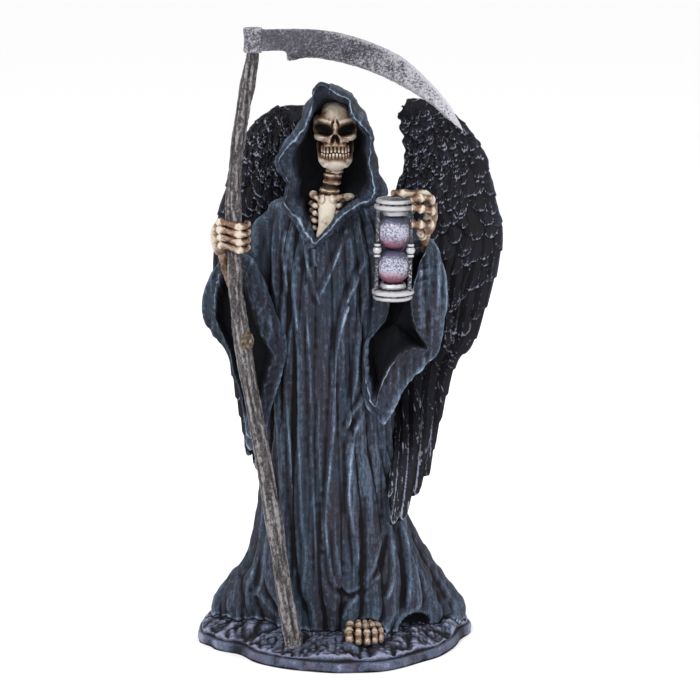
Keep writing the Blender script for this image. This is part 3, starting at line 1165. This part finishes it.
KNUCKLES = np.array((0.85, 1.0, 1.2, 0.92, 0.80, 0.92, 1.18, 0.9, 0.80, 0.95, 0.75))
FINGER = FINGER_RADIUS / PART
line, radius = staff_line(300)
for k, height in enumerate(RIGHT_FINGERS):
    middle = np.array([np.interp(height, line[:, 2], line[:, axis]) for axis in range(3)])
    away = np.interp(height, line[:, 2], radius) + GRIP_CLEARANCE / PART + 0.75 * FINGER
    turn = np.radians(np.linspace(-185, 10, 9))
    path = np.column_stack([middle[0] + 1.18 * away * np.cos(turn), middle[1] + away * np.sin(turn),
                            middle[2] + FINGER_BOW / PART * np.sin(2 * turn)])
    bone(path, KNUCKLES * FINGER * (1.03 - 0.05 * abs(k - 1)), 54, 22, tone=0.16, close=2)
bone(RIGHT_PALM, (1.8, 3.0, 3.3, 3.0, 2.4), 40, 24, 1.25, 0.2)
bone(RIGHT_FOREARM, (2.6, 2.0, 1.9, 2.2, 2.8), 50, tone=0.2)
for line in LEFT_FINGERS:
    bone(line, KNUCKLES * FINGER, 54, 22, tone=0.06, close=2)
bone(LEFT_PALM, (1.8, 2.8, 3.0, 2.7, 2.1), 40, 24, 1.25, 0.25)
bone(LEFT_FOREARM, (2.3, 1.9, 1.9, 2.2, 2.8), 50, tone=0.2)
bone(LEFT_THUMB, (1.8, 1.6, 1.8, 1.4, 1.6, 1.1), 34)
for x, tip, size in TOES:
    bone([(4 + 0.75 * (x - 4), -30, 16.5), (x, tip + 7.5, 14.6), (x + 0.2, tip, 11.0)],
         np.array((1.0, 0.9, 1.12, 0.84, 1.12, 0.88, 1.02, 0.9)) * size, 50, 22, tone=-0.05, close=0)
bones.build("bones", ("figure",), "figure_paint", BONE)

# %% [markdown]
# ## The scythe
# The staff is a branch: long cracks run with it, a little twisted, between ridges of bark. The blade is a
# flat plate between two outlines with a ground bevel along its lower edge and a few worn nicks.

# %% The scythe
COLLAR_WALL = 0.0014
COLLAR_HEIGHT = 0.0114
BLADE_BACK = 0.0030
BLADE_EDGE = 0.0008
BEVEL_WIDTH = 0.0042
KNOT_HEIGHT = 0.1560
STAFF_ROWS = 400
STAFF_SIDES = 52
BARK_GRAIN = [(0.34, (1.3, 1.3, 9), 5.0), (0.16, 1.0, 8.0)]
BLADE_ROWS = 240
BLADE_STEPS = 22
TURNED_SIDES = 72
BLADE_TOP = [(-41, 299.2), (-20, 298.8), (-7.4, 297.3), (5.6, 293.7), (19.1, 287.9), (28, 282),
             (37.5, 272.9),
             (45.6, 263.6), (50.2, 256.0), (53.3, 249.9)]
BLADE_LOW = [(-41, 289.1), (-30.4, 288.6), (-28.6, 284), (-20.8, 285), (-12, 284), (1.4, 280.8),
             (14.9, 275.6),
             (28.1, 268.6), (38.3, 262.1), (45.6, 255.5)]


def blade_depth(x):
    """The blade sweeps back as it runs out from the staff."""
    return -25.5 + 0.235 * (x + 41)


def staff_surface():
    """The branch as a tube whose radius carries slow swellings, long cracks and fine bark."""
    rows = (np.arange(STAFF_ROWS) / (STAFF_ROWS - 1))[:, None]
    turn = np.linspace(0, 2 * math.pi, STAFF_SIDES, endpoint=False) + 3 * rows
    spot = np.stack([3.6 * np.cos(turn), 3.6 * np.sin(turn), PARTS * rows * np.ones(STAFF_SIDES)],
                    axis=-1)
    crack = -0.42 * held(0.35 - np.abs(noise(spot, (2.2, 2.2, 30)))) / 0.35
    grid, lift = outward(tube_grid(*staff_line(STAFF_ROWS), STAFF_SIDES), crack + grain(spot, BARK_GRAIN))
    return push(grid, lift * held((1 - rows) * 40))


scythe = Builder()
scythe.add(staff_surface(), gain=1.3, fine=2, broad=6)
line, radius = staff_line(300)
knot_at = np.array([np.interp(KNOT_HEIGHT / PART, line[:, 2], line[:, axis]) for axis in range(3)])
knot_grid = egg(knot_at + np.array((0.5, -0.55, 0)) * STAFF_FOOT_RADIUS / PART,
                np.array((0.80, 0.62, 1.0)) * STAFF_FOOT_RADIUS / PART, 40, 60)
knot_lift = grain(knot_grid, [(0.3, 2.2, 0.0), (0.2, 1.1, 0.0)])
scythe.add(push(knot_grid, knot_lift), gain=1.5, fine=2, broad=4, tone=0.8)
scythe.build("staff", ("scythe",), "scythe_paint", WOOD)


def lathe(profile, sides, rows):
    """Turns a profile of (radius, height) points about an upright axis, without rounding its corners
    off."""
    knots = np.array(profile, float)
    length = np.concatenate([[0], np.cumsum(np.linalg.norm(np.diff(knots, axis=0), axis=1))])
    at = np.linspace(0, length[-1], rows)
    radius, height = (np.interp(at, length, knots[:, k]) for k in (0, 1))
    turn = np.linspace(0, 2 * math.pi, sides, endpoint=False)
    radius, height = radius[:, None], height[:, None]
    return np.stack([radius * np.cos(turn), radius * np.sin(turn), height * np.ones(sides)], axis=-1)


def blade_surface():
    """Rings round the blade's section from the collar to the tip: back line, faces, bevel and the worn
    edge."""
    share = np.linspace(0, 1, BLADE_ROWS)
    back, edge = open_curve(BLADE_TOP, share), open_curve(BLADE_LOW, share)
    width = np.linalg.norm(back - edge, axis=1)
    bevel = np.minimum(BEVEL_WIDTH / PART / width, 0.6) * np.clip(share * 6 - 0.5, 0.03, 1)
    along = np.column_stack([share * 60, share * 0, share * 0])
    nick = 0.35 * np.abs(noise(along, 1.6)) * held(share * 8 - 1)
    steps = np.concatenate([np.linspace(0, 0.98, BLADE_STEPS), np.linspace(1, 0, BLADE_STEPS)])[None, :]
    face = np.repeat([1.0, -1.0], BLADE_STEPS)[None, :]
    inside = held((1 - steps) / bevel[:, None])
    thick = BLADE_EDGE / PART / 2 + (BLADE_BACK - BLADE_EDGE) / PART / 2 * inside
    thick = thick * held(steps * width[:, None] / 0.8 + 0.35) ** 0.5
    worn = edge + (back - edge) * (nick / width)[:, None]
    spot = back[:, None] * (1 - steps[..., None]) + worn[:, None] * steps[..., None]
    y = blade_depth(back[:, :1]) - face * thick
    tone = held((share[:, None] - 0.08 + 0.18 * (1 - inside)) / 0.75)
    grid, tone = outward(np.stack([spot[..., 0], y, spot[..., 1]], axis=-1), tone)
    return push(grid, grain(grid, [(0.16, 1.3, 0.0), (0.10, 0.6, 3.0)])), tone


metal = Builder()
blade_grid, blade_tone = blade_surface()
edge, hollow = guides(blade_grid, 1, 3, 0.8)
metal.add(blade_grid, edge=edge, hollow=hollow, tone=blade_tone)
reach = (STAFF_TOP_RADIUS + COLLAR_WALL) / PART
tall = COLLAR_HEIGHT / PART
collar_grid = lathe([(0.2, 0), (0.86 * reach, 0), (0.98 * reach, 0.06 * tall), (reach, 0.12 * tall),
                     (0.99 * reach, 0.20 * tall), (0.93 * reach, 0.26 * tall),
                     (0.94 * reach, 0.66 * tall), (0.97 * reach, 0.76 * tall), (reach, 0.94 * tall),
                     (0.92 * reach, tall), (0.2, tall)], TURNED_SIDES, 70)
lean = [np.interp(294.0, line[:, 2], line[:, axis]) for axis in range(2)]
collar_grid = outward(collar_grid + (*lean, PARTS - tall))
on_wall = np.abs(collar_grid[..., 2] - PARTS + tall / 2) < tall / 2 - 0.2
rough = 0.18 * noise(collar_grid, 1.5) * on_wall
metal.add(push(collar_grid, rough - 0.1 * (rough != 0)), gain=1.4, fine=2, broad=6, tone=0.42)
metal.build("blade", ("scythe",), "scythe_paint", BLADE)

# %% [markdown]
# ## The hourglass
# A turned piece: two discs with steps, a collar at each end, two bulbs meeting in a narrow neck, and
# three posts with a bead halfway. The bulbs are painted to look like glass over red sand, so they are a
# piece of their own paint.

# %% The hourglass
GLASS_HEIGHT = 0.0470
DISC_RADIUS = 0.0098
RING_HEIGHT = 0.0021
COLLAR_RADIUS = 0.0058
BULB_RADIUS = 0.0080
NECK_RADIUS = 0.0014
POST_RADIUS = 0.0009
BEAD_RADIUS = 0.0021
GLASS_FOOT = (20.4, -39.5, 176.0)
GLASS_LEAN = 0.026
POSTS = 3


def about_glass(grid):
    """Stands a turned grid on the hourglass's place, leaning as it leans."""
    grid = np.array(grid, float)
    grid[..., 0] += GLASS_LEAN * grid[..., 2]
    return outward(grid + np.array(GLASS_FOOT) + np.array((0, 0, GLASS_HEIGHT / PART / 2)))


silver, glass = Builder(), Builder()
half, ring = GLASS_HEIGHT / PART / 2, RING_HEIGHT / PART
disc, inner, throat = DISC_RADIUS / PART, half - 2.4 * RING_HEIGHT / PART, COLLAR_RADIUS / PART
bulb, neck = (inner - ring) / 2, NECK_RADIUS / PART
for side in (1, -1):
    profile = [(0.3, half), (disc * 0.86, half), (disc * 0.93, half - 0.3 * ring),
               (disc * 0.93, half - 0.7 * ring),
               (disc * 0.80, half - ring), (disc, half - 1.35 * ring), (disc, half - 2.0 * ring),
               (disc * 0.9, half - 2.3 * ring), (throat, inner), (throat * 1.05, inner - 0.5 * ring),
               (throat * 0.95, inner - 1.2 * ring), (0.3, inner - 1.2 * ring)]
    grid = about_glass(lathe([(radius, side * height) for radius, height in profile], TURNED_SIDES, 110))
    between = np.abs(grid[..., 2] - GLASS_FOOT[2] - half) < half - 0.3
    silver.add(push(grid, 0.14 * noise(grid, 1.1) * between), gain=1.8, fine=2, broad=6)
    turn = np.linspace(math.radians(75), math.radians(-82), 60)
    middle = inner - ring - bulb
    size = BULB_RADIUS / PART
    curve = np.column_stack([np.maximum(size * np.cos(turn), neck), middle + bulb * np.sin(turn)])
    curve = np.vstack([curve, [(neck, -0.4)]])
    grid = about_glass(lathe([(radius, side * height) for radius, height in curve], TURNED_SIDES, 60))
    low_part = held((GLASS_FOOT[2] + half + side * middle - grid[..., 2]) / bulb * 0.5 + 0.5)
    ends = held(np.abs(low_part - 0.5) * 2) ** 3
    glass.add(push(grid, 0.08 * noise(grid, 1.5)), edge=1 - ends, hollow=ends, tone=low_part)
for k in range(POSTS):
    turn = math.radians(-155 + 125 * k) if k < 2 else math.radians(90)
    away = DISC_RADIUS / PART - 1.3 * POST_RADIUS / PART
    span = half - 1.6 * ring
    size, bead = POST_RADIUS / PART, BEAD_RADIUS / PART
    upper = [(0.8 * bead, 0.06), (1.1 * size, 0.085), (1.7 * size, 0.10), (1.7 * size, 0.15),
             (size, 0.16), (size, 1)]
    shape = [(radius, -at * span) for radius, at in reversed(upper)] + [(bead, 0)]
    shape += [(radius, at * span) for radius, at in upper]
    foot = np.array((away * math.cos(turn), away * math.sin(turn), 0))
    grid = about_glass(lathe(shape, 24, 110) + foot)
    silver.add(push(grid, 0.06 * noise(grid, 0.8)), gain=2.0, fine=2, broad=6)
silver.build("hourglass_frame", ("hourglass",), "hourglass_silver", SILVER)
glass.build("hourglass_bulbs", ("hourglass",), "hourglass_silver", BULB)

# %% [markdown]
# ## The wings
# Each wing is a casting of its own, glued on behind the shoulder. It lies between two rails, the inner
# and the outer edge, and is crowned towards the front. Front and back are two sheets that meet at both
# edges, top and tips. Its feathers are a height over that surface. They are laid like roof tiles, lowest
# rows first, so that each row's tips stand on the next: short curled ones at the top, broad scalloped
# ones in the middle, then long narrow ones down to the tips. Every feather is domed across, rises towards
# its tip, and has a quill and slanting barbs.

# %% The wings
WING_THICKNESS = 0.0056
LEFT_OUTER = [
    (27, 17, 261.5), (37, 19, 262.2), (50, 17, 255.5), (60.5, 14, 245), (66.5, 12, 231), (70, 10, 216),
    (73.6, 8, 200), (71.6, 7, 184), (67, 7, 167), (60, 7, 145.5), (52, 6, 136), (46, 2, 117),
    (40.5, -6, 98), (35.5, -16, 79), (30, -23, 63),
]
LEFT_INNER = [
    (24, 17, 256), (25, 20, 247), (27, 22, 236), (25, 24, 224), (20, 25, 212), (15, 26, 198),
    (12, 27, 184), (11, 27, 170), (11, 27, 156), (13, 26, 142), (17, 22, 128), (20, 12, 112),
    (20, -6, 96), (17.5, -22, 80), (15.5, -30, 65),
]
RIGHT_OUTER = [
    (-24, 18, 258.5), (-33, 20, 259), (-42, 19, 254.5), (-50, 17, 246), (-56, 15, 235), (-60, 13, 220),
    (-64.5, 11, 203), (-66, 11, 186), (-64.5, 12, 167), (-61, 13, 148), (-58, 14, 130), (-55, 15, 112),
    (-52, 16, 96), (-50, 17, 80), (-48.5, 18, 67),
]
RIGHT_INNER = [
    (-24, 18, 252), (-25, 21, 243), (-26, 23, 232), (-27, 25, 221), (-27, 26, 209), (-26, 27, 196),
    (-25, 28, 182), (-25, 28, 168), (-25, 28, 154), (-26, 28, 140), (-27, 28, 126), (-29, 28, 111),
    (-32, 27, 96), (-35, 25, 82), (-38, 23, 70),
]
WING_CROWN = 0.0030
WING_TAPER = 0.45
FEATHER_BANDS = [(0.0, 0.24, 17, 3.6, 4.4, 0.7), (0.18, 0.44, 9, 6.6, 10.0, 0.95),
                 (0.34, 0.56, 4, 6.0, 24.0, 0.9)]
LONG_FEATHERS = 5
TIP_CUTS = np.array([12.0, 0.5, 3.0, 13.0, 20.0])
WING_ROWS = 350
FRONT_COLUMNS = 139
BACK_COLUMNS = 47


def wing_middle(rails, u, v):
    """Middle surface of a wing over u across, inner to outer edge, and v down, top to tips."""
    inner, outer = (open_curve(rail, held(v)) for rail in rails)
    point = inner[:, None] * (1 - u[..., None]) + outer[:, None] * u[..., None]
    point[..., 1] -= WING_CROWN / PART * np.sin(math.pi * held(u))
    return point


def feather_field(wide, tall, seed):
    """Feather heights and rims on a grid of distances across and down: tiles laid from the lowest row
    up."""
    draw = np.random.default_rng(seed)
    height, rim = np.zeros(wide.shape), np.zeros(wide.shape)
    rough = noise(np.stack([wide, tall, 0 * wide], axis=-1), (2.5, 5, 5), seed)
    full, width = tall.max(), wide[:, -1:]
    tiles = []
    for k in range(LONG_FEATHERS):
        start = 0.46 + 0.02 * (k % 2)
        tiles.append((start, (k + 0.5) / LONG_FEATHERS, 1.04 * width / LONG_FEATHERS, (1 - start) * full,
                      0, 1.0))
    for start, stop, count, broad, long, order in FEATHER_BANDS:
        for row in range(count):
            at = start + (stop - start) * (row + 0.5) / count
            number = max(3, int(round(float(np.interp(at * full, tall[:, 0], width[:, 0])) / broad
                                      * 1.08)))
            for k in range(number):
                share = (k + 0.5 * (row % 2) + draw.uniform(-0.25, 0.25) + 0.25) / number
                down = at + draw.uniform(-0.5, 0.5) * (stop - start) / count
                size = broad * draw.uniform(0.85, 1.2), long * draw.uniform(0.85, 1.15)
                tiles.append((down, share, *size, draw.normal(0, 0.45 if order < 0.9 else 0.12), order))
    tiles.sort(key=lambda tile: -tile[0])
    for at, share, broad, long, lean, order in tiles:
        s = tall - at * full
        t = wide - share * width - lean * s
        along = held(s / long)
        close = held(1 - (long - s) / (0.6 * broad))
        outline = 0.5 * broad * (1 - close**2.2) ** 0.5 * held(along * 8 + 0.5)
        inside = (s > 0) & (s < long) & (np.abs(t) < outline)
        across = t / np.maximum(0.5 * broad, 0.1)
        barb = np.sin((s * 0.8 + np.abs(t) * (1.3 if order < 0.9 else 2.0)) * 4.4 + 2.5 * rough)
        shape = 0.35 + 1.25 * along**1.2 * min(1.0, long / 9) - 0.75 * across**2
        shape = shape + 0.22 * bell(t, 0.35) + 0.085 * barb
        margin = bell(np.minimum(outline - np.abs(t), long - s), 0.6) * held(along * 1.8 - 0.5)
        height = np.where(inside, shape, height)
        quill = bell(t, 0.45)
        light = margin * draw.uniform(0.25, 0.95) + 0.25 * quill * along
        light = light + 0.30 * held(barb) * (0.35 + 0.65 * along)
        rim = np.where(inside, light, rim)
    return height, rim


def tip_cut(u):
    """How much shorter each long feather is than the longest, in parts, over the place across the
    wing."""
    at = np.clip(u, 0, 0.999) * len(TIP_CUTS)
    return TIP_CUTS[at.astype(int)] + 3.6 * np.abs(2 * (at % 1 - 0.5)) ** 2.6


def wing_surface(rails, seed, side):
    """Closed grid of a wing: the feathered front, rounded edges and a plainer feathered back."""
    rows = WING_ROWS
    v = np.linspace(0, 1, rows)
    down_share = v[:, None]
    sheets = []
    for count, face in ((FRONT_COLUMNS, 1), (BACK_COLUMNS, -1)):
        u = np.broadcast_to(np.linspace(0, 1, count), (rows, count))
        point = wing_middle(rails, u, v)
        normal = np.cross(np.gradient(point, axis=1), np.gradient(point, axis=0))
        normal /= np.linalg.norm(normal, axis=-1, keepdims=True)
        normal *= -np.sign(normal[..., 1:2])
        steps = np.linalg.norm(np.diff(point, axis=1), axis=-1)
        wide = np.concatenate([np.zeros((rows, 1)), np.cumsum(steps, axis=1)], axis=1)
        down = np.linalg.norm(np.diff(point[:, count // 2], axis=0), axis=-1)
        tall = np.broadcast_to(np.concatenate([[0], np.cumsum(down)])[:, None], wide.shape)
        height, rim = feather_field(wide, tall, seed + face)
        ends = tip_cut(u[0]) / tall[-1, 0] * held((down_share - 0.55) / 0.45) ** 1.5
        at = held(down_share - ends) * (rows - 1)
        row, part = np.minimum(at.astype(int), rows - 2), (at % 1)[..., None]
        column = np.arange(count)[None, :]
        point = point[row, column] * (1 - part) + point[row + 1, column] * part
        steps_out = (down_share * 17) % 1 - 0.6
        point[..., 0] += side * 0.9 * held(u * 3 - 2) ** 2 * steps_out * held(down_share * 8 - 0.6)
        if side < 0:
            point[..., 0] += 2.8 * held(1 - 14 * down_share)
        rounding = np.sin(math.pi * (0.06 + 0.88 * u)) ** 0.5
        skin = WING_THICKNESS / PART / 2 * (1 - WING_TAPER * down_share) * rounding
        edge_fade = held(np.minimum(u, 1 - u) * 22) * held(down_share * 40)
        curly = held(1.5 - 3.2 * down_share)
        ruffle = np.stack([noise(point, 3.6, seed), noise(point, 3.6, seed + 3)], axis=-1)
        ruffle = ruffle * (curly * held(down_share * 20))[..., None]
        point[..., ::2] += 1.3 * ruffle * held(1.2 - 4 * np.minimum(u, 1 - u))[..., None]
        curls = held(1 - 5.5 * np.abs(noise(point, 1.8, seed))) * curly
        flat = np.stack([wide, tall, 0 * wide], axis=-1)
        lines = grain(flat, [(1.7, (0.5, 9, 9), seed + 0.5), (0.9, (0.8, 1.6, 9), seed + 0.7)])
        lines = held(lines - 0.38) * held(4 * down_share - 1.6)
        height = height + 0.8 * curls + 0.25 * lines
        curl_light = 0.62 * curls * (0.55 + 0.9 * noise(point, 4.0, seed))
        rim = (rim * (1 - 0.6 * curls) + curl_light + 0.65 * lines) * edge_fade
        point = point + normal * (face * (skin + height * edge_fade))[..., None]
        sheets.append((point[:, ::face], rim[:, ::face]))
    grid = np.concatenate([sheets[0][0], sheets[1][0]], axis=1)
    grid[..., 0] = np.minimum(grid[..., 0], high[0] / PART + MIDDLE_X - 0.1)
    rim = np.concatenate([sheets[0][1], sheets[1][1]], axis=1)
    turned, turned_rim = outward(grid, rim)
    if turned is not grid:
        turned, turned_rim = (np.roll(sheet, -BACK_COLUMNS, axis=1) for sheet in (turned, turned_rim))
    return turned, turned_rim


for name, rails, seed, side in (("left_wing", (LEFT_INNER, LEFT_OUTER), 21, 1),
                                ("right_wing", (RIGHT_INNER, RIGHT_OUTER), 43, -1)):
    plumage = Builder()
    grid, rim = wing_surface(rails, seed, side)
    edge, hollow = guides(grid, 1, 5, 1.2)
    plumage.add(grid, edge=edge, hollow=hollow, tone=held(rim), lips=FRONT_COLUMNS)
    plumage.build(name + "_plumage", (name,), "wing_paint", PLUMAGE)
